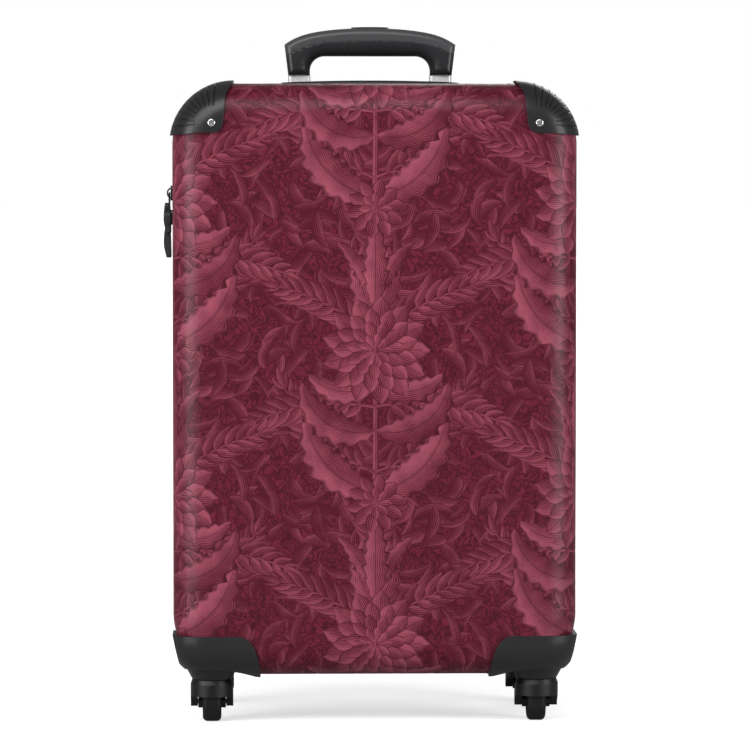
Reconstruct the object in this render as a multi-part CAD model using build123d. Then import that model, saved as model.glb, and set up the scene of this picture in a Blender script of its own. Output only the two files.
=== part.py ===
from build123d import *
import math
import os

os.makedirs("parts", exist_ok=True)

# Sizes over the whole case, in millimetres
case_width = 350          # over the corner guards
case_depth = 200          # over the corner guards
case_height = 550         # floor to the top of the guards
guard_proud = 3           # guards stand this far out of the shells
body_bottom = 43          # floor to the underside of the shells
corner_radius = 52        # shell corners seen from the front
edge_radius = 26          # rounding of the front and back edges
wall = 2.4                # shell wall with its printed cover
zip_band = 14             # width between the two shell rims

# Zip, binding and hinge strip
binding_width = 8
binding_thick = 0.8
tape_thick = 0.8
coil_width = 1.6          # one side of the coil
coil_thick = 2.0
hinge_inset = 56          # hinge strip ends this far inside the shell's top and bottom
slider_drop = 93.1        # hinge of the upper pull below the top of the shells
slider_step = 21          # lower slider hangs this far below the upper one
slider_length = 13
slider_width = 9
pull_length = 35
pull_width = 5.5
pull_thick = 5
pull_shift = 7            # the soft upper pull bends round the lower slider by this much

# Corner guards
top_guard_reach = 54.8    # from the side, measured at the top of the case
top_guard_flare = 6.4     # its inner edge draws in this much under the rounded top edge
top_guard_slant = 9.8     # and this much at its lower corner
top_guard_dip = 2.5       # its lower edge falls this much towards the side
top_guard_drop = 44.8     # from the guard's top to its lower edge
top_guard_back = 62       # from the guard's front face
groove_count = 9
groove_width = 1.2
groove_depth = 0.7
groove_start = 14.5       # from the screw's axis
screw_head = 6.7
screw_inset = 36.3        # from the side; nearly the same from the top
screw_shank = 3

# Caster housings
housing_reach = 77.2      # from the side
housing_top = 77.5        # height above the floor
housing_back = 74         # from the guard's front face
housing_radius = 30       # corner radius before the guard's own thickness
housing_taper = 0.2235    # its side leans in this much for each millimetre down
housing_round = 17
notch_reach = 64          # cut in the shell's corner, from the side
notch_back = 63           # from the shell's front face
notch_top = 66            # height above the floor
recess_z = 48.5           # crown of the hollow round the neck
neck_z = 38.4             # lower end of the neck that the fork turns under
neck_radius = 17
neck_flare = 5.6          # the neck is this much wider at its root
boss_radius = 11

# Casters
swivel_inset_x = 35.5     # swivel axis from the guards' side face
swivel_inset_y = 36       # and from their front or back face
caster_trail = 12
wheel_diameter = 34
wheel_width = 16
hub_diameter = 22
fork_width = 36.5
fork_leg = 6
skirt_z = 23.7            # lower edge of the fork's front
fork_gap = 0.4            # between the neck and the fork
wheel_play = 1.2
stem_diameter = 8
axle_diameter = 4

# Telescopic handle
handle_inset = 19         # tubes' middle plane from the rear shell's back
tube_spacing = 125
inner_tube = (19.6, 12.0)
tube_wall = 1.0
tube_play = 0.2
tube_foot_z = 66
bezel_half = 80
bezel_depth = 32
bezel_rise = 6.1          # above the top of the shells
bezel_arch = 1750         # radius of the arched top
grip_gap = 4.6            # between the bezel and the grip's legs
grip_height = 41.7
grip_depth = 26
grip_half = 75.6
grip_opening = 53.2       # half width of the finger opening
grip_bar_rise = 17        # from the legs' ends up to the underside of the bar
grip_end_rise = 10.2      # from the underside of the bar up to its outer corners
grip_crown = (43, 2.7)    # points on the bar's arched top: out from the middle, down from the top
grip_shoulder = (62, 7.2)
opening_radius = 13
grip_edge = 6
cover_thick = 11          # soft cover over the top of the bar
button_size = (33, 15, 7.5)

# Carry strap on the rear half's top
strap_length = 176
strap_width = 24
strap_thick = 1.6
cap_over = 0.8            # caps rise this much over the strap's thickness
strap_gap = 4             # between the rim binding and the caps
cap_margin = 3            # caps are this much wider than the strap on each side
cap_length = 38

# Inside
lining_gap = 0.3
lining_thick = 1.0
packing_strap_width = 25
packing_strap_thick = 1.2
packing_strap_y = 12
packing_strap_spread = 150  # from the middle of the case up to each strap's outer end

# Sizes that follow from the ones above
body_w = case_width - 2 * guard_proud
body_d = case_depth - 2 * guard_proud
body_top = case_height - guard_proud
body_h = body_top - body_bottom
mid_z = body_bottom + body_h / 2
rim = zip_band / 2
side_x = body_w / 2
front_y = -body_d / 2
slider_top_z = body_top - slider_drop
swivel_x = case_width / 2 - swivel_inset_x
swivel_y = case_depth / 2 - swivel_inset_y
handle_y = body_d / 2 - handle_inset
bezel_top = body_top + bezel_rise
grip_base = bezel_top + grip_gap
grip_top = grip_base + grip_height
grip_bar_z = grip_base + grip_bar_rise
strap_y = rim + binding_width + strap_gap + cap_margin + strap_width / 2


def save(name, shape):
    export_step(shape, f"parts/{name}.step")


def mirror_x(shape):
    return mirror(shape, about=Plane.YZ)


def mirror_y(shape):
    return mirror(shape, about=Plane.XZ)


def box_between(x0, x1, y0, y1, z0, z1):
    return Pos((x0 + x1) / 2, (y0 + y1) / 2, (z0 + z1) / 2) * Box(x1 - x0, y1 - y0, z1 - z0)


def outline(grow, radius=corner_radius):
    """The case seen from the front, grown by grow."""
    return RectangleRounded(body_w + 2 * grow, body_h + 2 * grow, radius + grow)


def case_block(grow, rim_y, radius=corner_radius):
    """Front half of the case as a solid, grown by grow, from its front back to y = -rim_y."""
    plane = Plane(origin=(0, -rim_y, mid_z), x_dir=(1, 0, 0), z_dir=(0, -1, 0))
    block = extrude(plane * outline(grow, radius), amount=body_d / 2 + grow - rim_y)
    return fillet(block.faces().sort_by(Axis.Y)[0].edges(), edge_radius + grow)


def ring(grow_out, grow_in, y0, y1):
    """A band that runs all round the case between two distances from the middle."""
    plane = Plane(origin=(0, y1, mid_z), x_dir=(1, 0, 0), z_dir=(0, -1, 0))
    return extrude(plane * (outline(grow_out) - outline(grow_in)), amount=y1 - y0)


def front_region(sketch, y0, y1):
    """A sketch drawn in x and z, made solid between y0 and y1."""
    plane = Plane(origin=(0, y1, 0), x_dir=(1, 0, 0), z_dir=(0, -1, 0))
    return extrude(plane * sketch, amount=y1 - y0)


def side_region(sketch, x0, x1):
    """A sketch drawn in y and z, made solid between x0 and x1."""
    plane = Plane(origin=(x0, 0, 0), x_dir=(0, 1, 0), z_dir=(1, 0, 0))
    return extrude(plane * sketch, amount=x1 - x0)


def caster_notch(grow):
    """The corner taken out of the front left of the shell for its caster, grown by grow."""
    return box_between(-case_width, -side_x + notch_reach + grow,
                       -case_depth, front_y + notch_back + grow,
                       0, notch_top + grow)


# Caster housing, front left; the other three are mirrored
full_front = case_block(0, 0)
notch = caster_notch(0)
housing_skin = case_block(guard_proud, case_depth / 2 - housing_back, housing_radius)
x_in = -case_width / 2 + housing_reach
y_in = -case_depth / 2 + housing_back
taper_x = -case_width / 2 + 2
taper_top = housing_top + 4
front_view = make_face(Wire([
    Line((x_in, 0), (x_in, body_bottom)).edge(),
    Spline([(x_in, body_bottom), (x_in - 1.1, housing_top - 24), (x_in - 4.1, housing_top - 13.5),
            (x_in - 7.4, housing_top - 6.8), (x_in - 12.3, housing_top - 1.9), (x_in - 18.8, housing_top)],
           tangents=[(0, 1), (-1, 0)]).edge(),
    Line((x_in - 18.8, housing_top), (taper_x, housing_top)).edge(),
    Line((taper_x, housing_top), (taper_x + housing_taper * housing_top, 0)).edge(),
    Line((taper_x + housing_taper * housing_top, 0), (x_in, 0)).edge(),
]))
side_view = Pos(y_in - case_depth / 2, housing_top - case_depth / 2) * Rectangle(case_depth, case_depth)
side_view = fillet(side_view.vertices().sort_by(lambda v: v.X + v.Y)[-1], housing_round)
housing = housing_skin & front_region(front_view, -case_depth, 0) & side_region(side_view, -case_width, 0)
housing = housing - (full_front - notch)
swivel = Pos(-swivel_x, -swivel_y, 0)
boss = swivel * Pos(0, 0, (recess_z + notch_top) / 2) * Cylinder(boss_radius, notch_top - recess_z)
cavity = case_block(-wall, 0) & box_between(-case_width, -side_x + notch_reach - wall,
                                           -case_depth, front_y + notch_back - wall,
                                           recess_z + 4.5, notch_top + 8)
housing = housing - (cavity - boss)
root_radius = neck_radius + neck_flare
recess_edge = root_radius + 20
recess_half = make_face(Wire([
    Line((0, neck_z), (neck_radius, neck_z)).edge(),
    Line((neck_radius, neck_z), (root_radius, recess_z)).edge(),
    ThreePointArc((root_radius, recess_z), (root_radius + 10.5, recess_z - 2.6),
                  (recess_edge, recess_z - 9.3)).edge(),
    Line((recess_edge, recess_z - 9.3), (recess_edge, 0)).edge(),
    Line((recess_edge, 0), (0, 0)).edge(),
    Line((0, 0), (0, neck_z)).edge(),
]))
neck_half = make_face(Polyline((0, neck_z), (neck_radius, neck_z), (root_radius, recess_z),
                               (root_radius, recess_z + 2), (0, recess_z + 2), close=True))
stem_top = notch_top - 4
stem_bore = swivel * Pos(0, 0, (neck_z + stem_top) / 2) * Cylinder(stem_diameter / 2, stem_top - neck_z)
housing = housing - swivel * revolve(Plane.XZ * recess_half, Axis.Z)
housing = housing + swivel * revolve(Plane.XZ * neck_half, Axis.Z) - stem_bore

# Stem that the fork turns on
fork_top = neck_z - fork_gap
stem_head_z = fork_top - 4.4
head_radius = stem_diameter / 2 + 2
stem = (Pos(0, 0, (stem_head_z + stem_top) / 2) * Cylinder(stem_diameter / 2, stem_top - stem_head_z)
        + Pos(0, 0, stem_head_z + 1) * Cylinder(head_radius, 2))

# Fork: domed crown and two legs; its wheel trails towards the back
axle_z = wheel_diameter / 2
leg_end = axle_diameter
leg_back = caster_trail + leg_end
plan = Circle(fork_width / 2) + Pos(0, leg_back / 2) * Rectangle(fork_width, leg_back)
crown = extrude(plan, amount=fork_top)
side_profile = make_face(Polyline(
    (-fork_width, fork_top), (-fork_width, skirt_z), (0, skirt_z),
    (caster_trail - leg_end, axle_z), (leg_back, axle_z), (leg_back, fork_top), close=True))
profile = side_profile + Pos(caster_trail, axle_z) * Circle(leg_end)
crown = crown & side_region(profile, -fork_width, fork_width)
dome_half = make_face(Polyline((0, 0), (fork_width / 2 + 8, 0), (fork_width / 2 + 8, fork_top - 14),
                               (fork_width / 2 + 0.4, fork_top - 5), (fork_width / 2 - 1.4, fork_top),
                               (0, fork_top), close=True))
fork = crown & revolve(Plane.XZ * dome_half, Axis.Z)
across = Pos(0, caster_trail, axle_z) * Rot(0, 90, 0)
fork = fork - across * Cylinder(wheel_diameter / 2 + wheel_play, wheel_width + 3)
fork = fork - across * Cylinder(7, fork_width - 2 * fork_leg)
fork = fork - box_between(-fork_width / 2 + fork_leg, fork_width / 2 - fork_leg,
                          -fork_width, fork_width, 0, skirt_z)
fork = fork - Pos(0, 0, stem_head_z) * Cylinder(head_radius + 0.3, 5)
fork = fork - Pos(0, 0, fork_top) * Cylinder(stem_diameter / 2 + 0.05, 20)
fork = fork - across * Cylinder(axle_diameter / 2, fork_width + 2)

# Axle, hub and tyre
axle = across * Cylinder(axle_diameter / 2, fork_width - 1.2)
hub = (across * Cylinder(hub_diameter / 2, wheel_width - 3)
       + across * Cylinder(5.5, fork_width - 2 * fork_leg - 0.8)
       - across * Cylinder(axle_diameter / 2 + 0.05, fork_width))
tyre = Cylinder(wheel_diameter / 2, wheel_width)
tyre = fillet(tyre.edges().filter_by(GeomType.CIRCLE), 4)
tyre = across * (tyre - Cylinder(hub_diameter / 2, wheel_width + 2))

corners = {
    "front_left": (-1, -1), "front_right": (1, -1),
    "rear_left": (-1, 1), "rear_right": (1, 1),
}
for corner, (sx, sy) in corners.items():
    shape = housing if sx < 0 else mirror_x(housing)
    save(f"caster_housing_{corner}", shape if sy < 0 else mirror_y(shape))
    place = Pos(sx * swivel_x, sy * swivel_y, 0)
    save(f"caster_stem_{corner}", place * stem)
    save(f"caster_fork_{corner}", place * fork)
    save(f"wheel_axle_{corner}", place * axle)
    save(f"wheel_hub_{corner}", place * hub)
    save(f"wheel_tyre_{corner}", place * tyre)

# Ribbed top corner guard, front left, with its fixing screw
guard_x = -case_width / 2 + top_guard_reach
guard_z = case_height - top_guard_drop
guard_view = make_face(Polyline(
    (guard_x + 4, case_height + 8), (guard_x, case_height - 1),
    (guard_x - top_guard_flare, case_height - 12), (guard_x - top_guard_slant, guard_z),
    (guard_x - top_guard_reach / 2, guard_z), (-case_width / 2 - 6, guard_z - top_guard_dip),
    (-case_width / 2 - 6, case_height + 8), close=True))
guard_view = fillet(guard_view.vertices().sort_by_distance((guard_x - top_guard_slant, guard_z))[0], 8.7)
guard_view = fillet(guard_view.vertices().sort_by_distance(
    (guard_x - top_guard_flare, case_height - 12))[0], 14)
guard_foot = guard_z - top_guard_dip
guard_side = Pos(top_guard_back - case_depth, guard_foot + case_depth / 2) * Rectangle(case_depth, case_depth)
guard_side = fillet(guard_side.vertices().sort_by(lambda v: v.X - v.Y)[-1], 14)
guard = case_block(guard_proud, case_depth / 2 - top_guard_back)
guard = guard & front_region(guard_view, -case_depth, 0) & side_region(guard_side, -case_width, 0)
guard = guard - full_front
screw_x, screw_z = -case_width / 2 + screw_inset, case_height - screw_inset
groove_skin = case_block(guard_proud + 1, 0) - case_block(guard_proud - groove_depth, 0)
groove_skin = groove_skin & box_between(-case_width, 0, -case_depth, -case_depth / 2 + edge_radius,
                                        guard_foot, case_height + guard_proud)
slabs = []
for step in range(groove_count):
    angle = 84 + step * 102 / (groove_count - 1)
    slabs.append(Pos(screw_x, -case_depth / 2, screw_z) * Rot(0, -angle, 0)
                 * Pos(groove_start + top_guard_reach / 2, 0, 0)
                 * Box(top_guard_reach, case_depth, groove_width))
guard = guard - (groove_skin & (Part() + slabs))
screw_axis = Pos(screw_x, -case_depth / 2, screw_z) * Rot(90, 0, 0)
shank_length = guard_proud + wall - 0.2
shank = screw_axis * Pos(0, 0, -shank_length / 2) * Cylinder(screw_shank / 2, shank_length)
head = Cylinder(screw_head / 2, 1.6, align=(Align.CENTER, Align.CENTER, Align.MIN))
head = fillet(head.edges().filter_by(GeomType.CIRCLE).sort_by(Axis.Z)[-1], 1.1)
cross = Box(4.2, 1.1, 2.2) + Box(1.1, 4.2, 2.2)
screw = screw_axis * (head - Pos(0, 0, 1.6) * cross) + shank
guard = guard - shank
for corner, (sx, sy) in corners.items():
    shape = guard if sx < 0 else mirror_x(guard)
    save(f"top_guard_{corner}", shape if sy < 0 else mirror_y(shape))
screw_pair = screw + mirror_x(screw)
save("guard_screws_front", screw_pair)
save("guard_screws_rear", mirror_y(screw_pair))

# Half shells with printed cover, rims towards the zip
shell = case_block(0, rim) - case_block(-wall, rim - 2)
shell = shell - notch - mirror_x(notch) - shank - mirror_x(shank)
save("front_shell", shell)
middle_tube = tuple(s + 2 * (tube_play + tube_wall) for s in inner_tube)
outer_tube = tuple(s + 2 * (tube_play + tube_wall) for s in middle_tube)
tube_x = tube_spacing / 2
places = [Pos(-tube_x, handle_y, 0), Pos(tube_x, handle_y, 0)]


def tube_block(size, z0, z1, grow=0.0):
    """A rounded bar on each side of the handle, from z0 up to z1."""
    bar = extrude(RectangleRounded(size[0] + 2 * grow, size[1] + 2 * grow, 3 + grow), amount=z1 - z0)
    return Part() + [place * Pos(0, 0, z0) * bar for place in places]


strap_cap_x = strap_length / 2 - 14
cap_pins = Part() + [Pos(s * (strap_cap_x + 9), strap_y, body_top - wall / 2) * Cylinder(2, wall)
                     for s in (-1, 1)]
rear_shell = mirror_y(shell) - tube_block(outer_tube, mid_z, case_height + 10) - cap_pins
save("rear_shell", rear_shell)

# Binding, zip tape and coil on each rim
hinge_z0, hinge_z1 = body_bottom + hinge_inset, body_top - hinge_inset
hinge_gap = box_between(side_x - 20, side_x + 20, -rim, rim, hinge_z0, hinge_z1)
binding = ring(binding_thick, 0, -rim - binding_width, -rim)
tape = ring(0, -tape_thick, -rim, -coil_width - 0.05) - hinge_gap
coil = ring(coil_thick / 2, -coil_thick / 2, -coil_width - 0.05, -0.05) - hinge_gap
save("front_rim_binding", binding)
save("rear_rim_binding", mirror_y(binding))
save("front_zip_tape", tape)
save("rear_zip_tape", mirror_y(tape))
save("front_zip_coil", coil)
save("rear_zip_coil", mirror_y(coil))
save("hinge_strip", box_between(side_x - tape_thick, side_x, -rim + 0.3, rim, hinge_z0, hinge_z1))

# Zip slider: a cap over the coil with a lip on the rear side and a bridge for the pull
cap_x = -side_x - coil_thick / 2 - 0.3
cap_plan = RectangleRounded(slider_width, slider_length, 3)
cap = extrude(Plane(origin=(cap_x, 0, 0), x_dir=(0, 1, 0), z_dir=(-1, 0, 0)) * cap_plan, amount=1.9)
lip = box_between(cap_x, -side_x - 0.2, coil_width + 0.5, slider_width / 2, -4, 4)
pull_axis_x = cap_x - 1.9 - 1.05
bridge_arc = make_face(Wire([
    ThreePointArc((-5, 0), (0, 3.4), (5, 0)).edge(), Line((5, 0), (3.4, 0)).edge(),
    ThreePointArc((3.4, 0), (0, 2.15), (-3.4, 0)).edge(), Line((-3.4, 0), (-5, 0)).edge(),
]))
bridge_plane = Plane(origin=(cap_x - 1.9, 1.2, 0), x_dir=(0, 0, 1), z_dir=(0, -1, 0))
bridge = extrude(bridge_plane * bridge_arc, amount=2.4)
slider = cap + lip + bridge

# Pull: wire loop on the bridge and a soft tab clamped to it
loop_side, loop_drop = 2.3, 11
pin = Rot(90, 0, 0) * Cylinder(0.8, 2 * loop_side + 1.6)
arms = [box_between(-0.8, 0.8, s * loop_side - 0.8, s * loop_side + 0.8, -loop_drop, 0) for s in (-1, 1)]
link = pin + arms[0] + arms[1] + box_between(-0.8, 0.8, -loop_side, loop_side, -loop_drop, -loop_drop + 1.6)


def pull_tab(shift):
    """The soft tab seen from the side, its lower part moved forwards by shift."""
    top = -loop_drop + 2.6
    bend = [(0, top), (0, top - 2), (0.5 * shift, top - 5.8), (0.93 * shift, top - 9.4), (shift, top - 14)]
    left, right = ([(side * pull_width / 2 - y, z) for y, z in bend + [(shift, -pull_length)]]
                   for side in (-1, 1))
    face = make_face(Wire([Spline(left).edge(), Line(left[-1], right[-1]).edge(),
                           Spline(right).edge(), Line(right[0], left[0]).edge()]))
    face = fillet(face.vertices().group_by(Axis.Y)[0], pull_width / 2 - 0.6)
    plane = Plane(origin=(0.8, 0, 0), x_dir=(0, 1, 0), z_dir=(1, 0, 0))
    return extrude(plane * face, amount=-pull_thick)


for name, z, shift in (("upper", slider_top_z, pull_shift), ("lower", slider_top_z - slider_step, 0)):
    save(f"zip_slider_{name}", Pos(0, 0, z) * slider)
    hang = Pos(pull_axis_x, 0, z)
    save(f"zip_pull_link_{name}", hang * link)
    save(f"zip_pull_tab_{name}", hang * (pull_tab(shift) - link))

# Telescopic handle: three pairs of tubes, one inside the other
bar_rear = mirror_y(full_front)
outer_top = bezel_top - 7
tubes = (("outer", outer_tube, tube_foot_z, outer_top),
         ("middle", middle_tube, tube_foot_z + 2, outer_top + 3),
         ("inner", inner_tube, tube_foot_z + 4, grip_base))
for name, size, z0, z1 in tubes:
    save(f"handle_tubes_{name}", tube_block(size, z0, z1) - tube_block(size, z0 - 1, z1 + 1, -tube_wall))
foot = box_between(-tube_x - 22, tube_x + 22, handle_y - outer_tube[1] / 2 - 2.5, case_depth,
                   tube_foot_z - 4, tube_foot_z + 18)
foot = foot & mirror_y(case_block(-wall, 0))
foot = foot - tube_block(outer_tube, tube_foot_z, tube_foot_z + 60)
save("handle_foot_bracket", foot)

# Bezel that the tubes come out of
bezel = extrude(Pos(0, handle_y) * RectangleRounded(2 * bezel_half, bezel_depth, 12), amount=bezel_top + 20)
arch = Pos(0, handle_y, bezel_top - bezel_arch) * Rot(90, 0, 0) * Cylinder(bezel_arch, 2 * bezel_depth)
bezel = bezel & arch & box_between(-case_width, case_width, 0, case_depth, mid_z, bezel_top + bezel_rise)
bezel = fillet(bezel.faces().sort_by(Axis.Z)[-1].edges(), 2.5)
bezel = bezel - bar_rear - tube_block(outer_tube, mid_z, outer_top)
bezel = bezel - tube_block(middle_tube, mid_z, bezel_top + 10, 0.3)
save("handle_bezel", bezel)

# Grip with a top cover and a release button, drawn from the legs' ends and set on the tubes
grip_seat = Pos(0, handle_y, grip_base)
arc_right = [(grip_crown[0], grip_height - grip_crown[1]), (grip_shoulder[0], grip_height - grip_shoulder[1]),
             (grip_half, grip_bar_rise + grip_end_rise)]
arc_points = [(-x, z) for x, z in reversed(arc_right)] + [(0, grip_height)] + arc_right


def below_grip_top(drop, sides, floor):
    """The face between the grip's arched top, lowered by drop, and a level; sides are its corners' x."""
    top = [(x, z - drop) for x, z in arc_points]
    low = [(sides, floor), (-sides, floor)]
    return make_face(Wire([Spline(top).edge(), Line(top[-1], low[0]).edge(), Line(*low).edge(),
                           Line(low[1], top[0]).edge()]))


grip_face = below_grip_top(0, tube_x + inner_tube[0] / 2, 0)
opening = Pos(0, grip_bar_rise - 30) * RectangleRounded(2 * grip_opening, 60, opening_radius)
grip = front_region(grip_face - opening, -grip_depth / 2, grip_depth / 2)
flat_faces = grip.faces().filter_by(Axis.Y)
grip = fillet(flat_faces[0].edges() + flat_faces[-1].edges(), grip_edge)
button_w, button_d, button_h = button_size
button_floor = grip_height + 1 - button_h
pocket = Pos(0, 0, button_floor - 4) * extrude(RectangleRounded(button_w + 0.6, button_d + 0.6, 5.3), amount=40)
cover_region = front_region(below_grip_top(cover_thick, grip_half, grip_height + 20), -case_depth, case_depth)
tenon = tube_block(inner_tube, grip_base - 25, grip_base, -tube_wall)
save("grip_cover", grip_seat * ((grip & cover_region) - pocket))
save("grip_body", grip_seat * ((grip - cover_region) - pocket) + tenon)
button = Pos(0, 0, button_floor) * extrude(RectangleRounded(button_w, button_d, 5), amount=40)
button_roof = front_region(below_grip_top(-1, grip_half, 0), -case_depth, case_depth)
save("grip_button", grip_seat * (button & button_roof))

# Carry strap between two caps on the rear half's top
strap_z = body_top + 0.3
strap = extrude(Pos(0, strap_y, strap_z) * RectangleRounded(strap_length, strap_width, 5), amount=strap_thick)
caps = []
for s in (-1, 1):
    cap_plan = RectangleRounded(cap_length, strap_width + 2 * cap_margin, 8)
    cap_block = extrude(Pos(s * strap_cap_x, strap_y, body_top) * cap_plan, amount=strap_thick + cap_over)
    caps.append(fillet(cap_block.faces().sort_by(Axis.Z)[-1].edges(), cap_over))
save("carry_strap", strap)
save("carry_strap_caps", (Part() + caps) - strap + cap_pins)

# Linings, held clear of the shells and over the caster pockets and handle tubes


def lining_block(inset, rim_y):
    block = case_block(-inset, rim_y)
    cut = caster_notch(inset - wall)
    return block - cut - mirror_x(cut)


outside, inside = wall + lining_gap, wall + lining_gap + lining_thick
save("front_lining", lining_block(outside, rim + 1) - lining_block(inside, rim - 1))
lining_back = handle_y - outer_tube[1] / 2 - 3.2
deep = box_between(-case_width, case_width, 0, lining_back, 0, case_height)
deep_inner = box_between(-case_width, case_width, 0, lining_back - lining_thick, 0, case_height)
rear_lining = (mirror_y(lining_block(outside, rim + 1)) & deep) \
    - (mirror_y(lining_block(inside, rim - 1)) & deep_inner)
save("rear_lining", rear_lining)

# Packing straps across the rear half, joined by a buckle
half = packing_strap_width / 2
strip_end = case_width / 2 + 25
strips = Part()
for side in (1, -1):
    z_out, z_in = mid_z + side * packing_strap_spread, mid_z + side * 12
    strip = make_face(Polyline((-strip_end, z_out + half), (-14, z_in + half * 0.6), (-14, z_in - half * 0.6),
                               (-strip_end, z_out - half), close=True))
    strips += front_region(strip, packing_strap_y, packing_strap_y + packing_strap_thick)
strips += front_region(Pos(-20, mid_z) * Rectangle(12, 38), packing_strap_y,
                       packing_strap_y + packing_strap_thick)
strips = strips & mirror_y(case_block(-inside, 0))
straps = strips + mirror_x(strips)
save("packing_straps", straps)
buckle = box_between(-27, 27, packing_strap_y - 3, packing_strap_y + packing_strap_thick + 3,
                     mid_z - 21, mid_z + 21)
buckle = fillet(buckle.edges().filter_by(Axis.Y), 7)
save("strap_buckle", buckle - straps)
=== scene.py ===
import math
import random

import bmesh
import bpy
import numpy as np
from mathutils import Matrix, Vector
from mathutils.geometry import delaunay_2d_cdt


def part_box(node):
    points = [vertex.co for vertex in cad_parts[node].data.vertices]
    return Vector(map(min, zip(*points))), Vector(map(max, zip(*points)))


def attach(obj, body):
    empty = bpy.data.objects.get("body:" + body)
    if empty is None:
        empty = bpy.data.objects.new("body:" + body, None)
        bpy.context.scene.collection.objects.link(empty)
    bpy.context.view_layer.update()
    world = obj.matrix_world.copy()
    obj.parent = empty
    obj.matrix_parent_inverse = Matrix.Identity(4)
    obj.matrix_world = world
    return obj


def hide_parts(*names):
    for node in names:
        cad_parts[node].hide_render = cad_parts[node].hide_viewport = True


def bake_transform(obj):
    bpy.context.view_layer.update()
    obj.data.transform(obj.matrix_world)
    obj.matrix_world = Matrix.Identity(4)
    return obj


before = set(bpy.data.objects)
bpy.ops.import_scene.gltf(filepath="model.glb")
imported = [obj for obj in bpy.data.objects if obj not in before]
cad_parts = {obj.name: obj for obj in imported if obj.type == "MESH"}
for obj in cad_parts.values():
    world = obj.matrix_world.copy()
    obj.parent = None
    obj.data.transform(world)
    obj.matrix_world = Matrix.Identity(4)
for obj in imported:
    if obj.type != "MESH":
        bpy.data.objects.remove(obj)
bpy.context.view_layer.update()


# The photographer's table: a white sweep, one large soft light over the lens and
# two tall strip lights at the sides, which draw the pale bands down the case's
# rounded edges. The lens is long and stands a little above the middle of the case.
def linear(code):
    channels = [int(code[i:i + 2], 16) / 255 for i in (0, 2, 4)]
    return [c / 12.92 if c <= 0.04045 else ((c + 0.055) / 1.055) ** 2.4 for c in channels] + [1.0]


def add(tree, kind, settings=None, links=None):
    """Adds a node; settings are its properties or inputs, links come from other nodes."""
    node = tree.nodes.new(kind)
    for key, value in (settings or {}).items():
        if isinstance(key, str) and key in node.bl_rna.properties:
            setattr(node, key, value)
        else:
            node.inputs[key].default_value = value
    for key, source in (links or {}).items():
        tree.links.new(source, node.inputs[key])
    return node


def start_material(name, rough=0.5):
    material = bpy.data.materials.new(name)
    material.use_nodes = True
    shader = material.node_tree.nodes["Principled BSDF"]
    shader.inputs["Roughness"].default_value = rough
    return material, material.node_tree, shader


studio = bpy.data.worlds.new("white_studio")
bpy.context.scene.world = studio
studio.use_nodes = True
tree = studio.node_tree
rays = add(tree, "ShaderNodeLightPath")
level = add(tree, "ShaderNodeMapRange", {"To Min": 0.26, "To Max": 1.0}, {"Value": rays.outputs["Is Camera Ray"]})
tree.nodes["Background"].inputs["Color"].default_value = (1, 1, 1, 1)
tree.links.new(level.outputs["Result"], tree.nodes["Background"].inputs["Strength"])
bpy.context.scene.view_settings.view_transform = "Standard"

bpy.ops.object.select_all(action="DESELECT")
bpy.ops.mesh.primitive_plane_add(size=120)
sweep = bpy.context.object
sweep.name = "white_sweep"
paper, tree, shader = start_material("white_paper_sweep", 0.95)
at = add(tree, "ShaderNodeTexCoord").outputs["Object"]
fibre = add(tree, "ShaderNodeTexNoise", {"Scale": 900.0}, {"Vector": at})
tint = add(tree, "ShaderNodeMix", {"data_type": "RGBA", 6: linear("f6f5f5"), 7: linear("fbfbfb")},
           {0: fibre.outputs["Fac"]})
# Rays that bounce off the paper see it a darker grey, b4b3b3, so it throws less light back up onto the case; the
# lens sees it white.
looked_at = add(tree, "ShaderNodeLightPath").outputs["Is Camera Ray"]
bounced = add(tree, "ShaderNodeMix", {"data_type": "RGBA", 6: linear("b4b3b3")}, {0: looked_at, 7: tint.outputs[2]})
tree.links.new(bounced.outputs[2], shader.inputs["Base Color"])
tree.links.new(tint.outputs[2], shader.inputs["Emission Color"])
# The paper glows for the lens alone, a painted light. The glow is weakest within half a metre of the sweep's middle
# under the case and grows out to 2.2 m, which paints a soft shade round the case beside its real shadow.
away = add(tree, "ShaderNodeVectorMath", {"operation": "LENGTH"}, {0: at})
painted_glow = add(tree, "ShaderNodeMapRange", {"From Min": 0.5, "From Max": 2.2, "To Min": 0.62, "To Max": 1.1},
           {"Value": away.outputs["Value"]})
seen = add(tree, "ShaderNodeMath", {"operation": "MULTIPLY"},
           {0: painted_glow.outputs["Result"], 1: looked_at})
tree.links.new(seen.outputs[0], shader.inputs["Emission Strength"])
shader.inputs["Specular IOR Level"].default_value = 0.0
sweep.data.materials.append(paper)

for name, place, turn, size, power in (
        ("soft_overhead", (-0.7, -1.95, 1.95), (47, -14, 0), (2.2, 1.2), 41),
        ("strip_left", (-1.5, -1.0, 0.5), (90, 0, -56), (0.7, 1.7), 23),
        ("low_left", (-1.4, -2.0, 0.15), (88, 0, -35), (0.8, 0.4), 7),
        ("low_right", (1.4, -2.0, 0.15), (88, 0, 35), (0.8, 0.4), 7),
        ("back_fill", (0.8, 2.6, 1.7), (-55, 0, -17), (1.6, 1.0), 16),
        ("strip_right", (1.5, -1.0, 0.5), (90, 0, 56), (0.7, 1.7), 22.5)):
    bpy.ops.object.light_add(type="AREA", location=place,
                             rotation=[math.radians(a) for a in turn])
    lamp = bpy.context.object
    lamp.name = name
    lamp.data.shape = "RECTANGLE"
    lamp.data.size, lamp.data.size_y = size
    lamp.data.energy = power

bpy.ops.object.camera_add(location=(-0.1031, -3.6161, 0.468),
                          rotation=(math.radians(90 - 2.73), 0, math.radians(-1.67)))
camera = bpy.context.object
camera.data.lens = 199.5
camera.data.clip_end = 100
bpy.context.scene.camera = camera
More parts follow.
